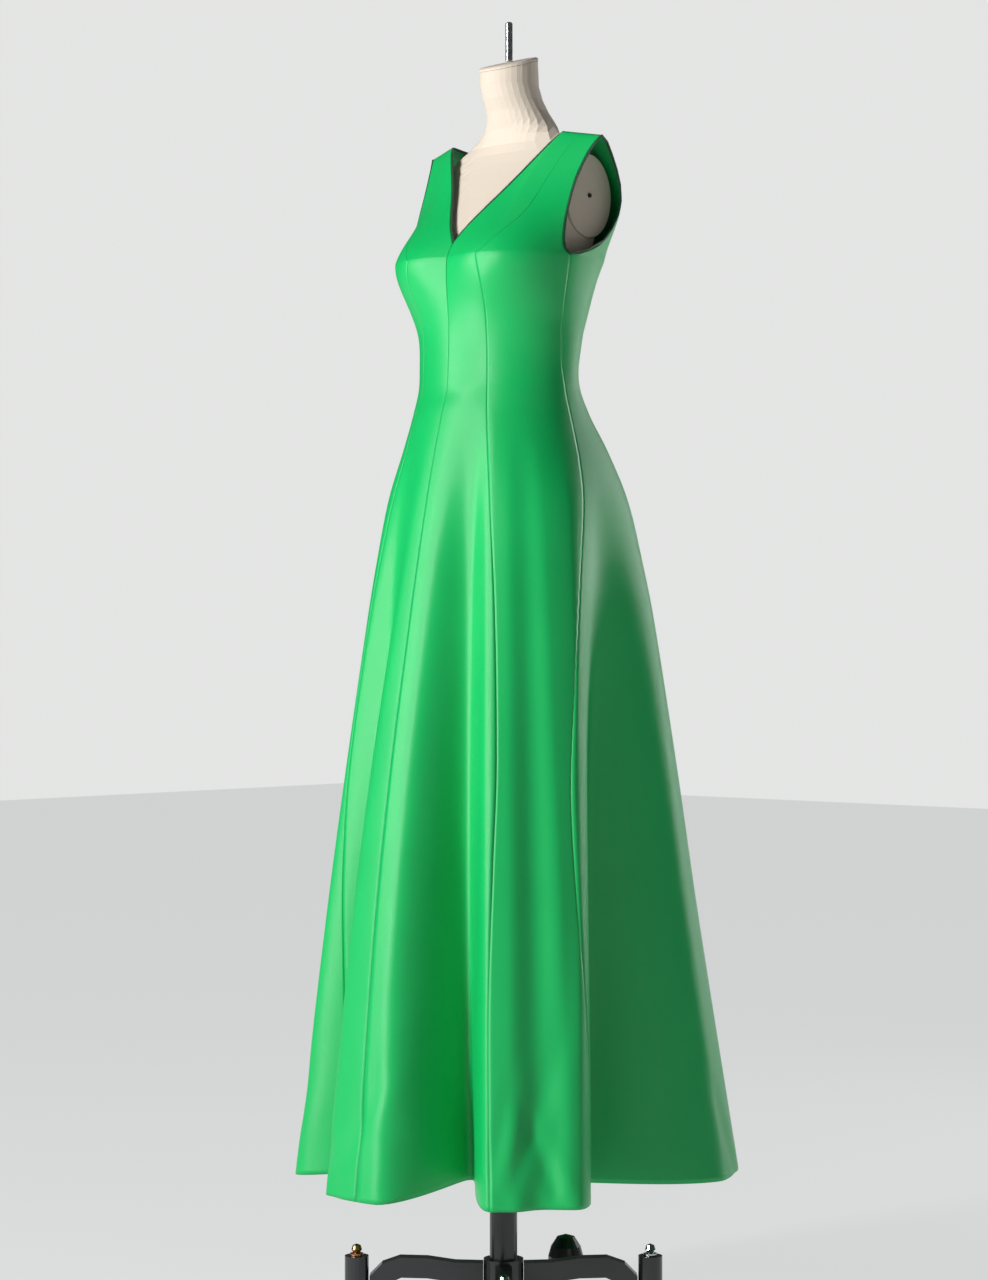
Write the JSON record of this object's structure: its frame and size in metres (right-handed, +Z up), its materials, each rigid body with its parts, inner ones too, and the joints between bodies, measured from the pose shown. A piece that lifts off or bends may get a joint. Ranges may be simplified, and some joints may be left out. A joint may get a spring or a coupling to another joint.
{
  "type": "bridesmaid dress on a dress form",
  "caption": "Floor-length sleeveless V-neck satin gown with princess seams and deep skirt folds, worn by a limbless dress form on a four-legged stand.",
  "frame": {"origin": "middle of the whole part's box in X and Y, on the floor that the stand rests on", "axes": "+Z up, the dress faces -Y, its wearer's left is +X"},
  "size_m": [0.548, 0.67, 1.912],
  "materials": {
    "satin": "heavy green satin with a soft sheen",
    "edging": "narrow dark green turned edge",
    "linen": "natural linen over the form",
    "chrome": "polished",
    "iron": "gloss black enamel on cast iron",
    "brass": "worn brass",
    "rubber": "matt black"
  },
  "bodies": {
    "stand": {"glide_1": "rubber", "glide_2": "rubber", "glide_3": "rubber", "glide_4": "rubber", "leg_1": "iron", "leg_2": "iron", "leg_3": "iron", "leg_4": "iron", "pedal_dome": "iron", "pole_sleeve": "iron", "post_1": "iron", "post_2": "iron", "post_3": "iron", "post_4": "iron", "post_knob_1": "chrome", "post_knob_2": "chrome", "post_knob_3": "chrome", "post_knob_4": "brass", "stand_hub": "iron"},
    "form": {"armhole_edging_left": "edging", "armhole_edging_right": "edging", "back_centre_left": "satin", "back_centre_right": "satin", "back_side_left": "satin", "back_side_right": "satin", "form_arm_plate_left": "linen", "form_arm_plate_right": "linen", "form_arm_screw_left": "iron", "form_arm_screw_right": "iron", "form_holder": "iron", "form_neck_cap": "linen", "form_neck_rod": "chrome", "form_torso": "linen", "front_centre_left": "satin", "front_centre_right": "satin", "front_side_left": "satin", "front_side_right": "satin", "neck_edging": "edging", "pole": "chrome"}
  },
  "joints": [
    {"name": "form_height", "type": "slide", "parent": "stand", "child": "form", "axis": [0, 0, 1], "range_m": [-0.03, 0.1]}
  ]
}
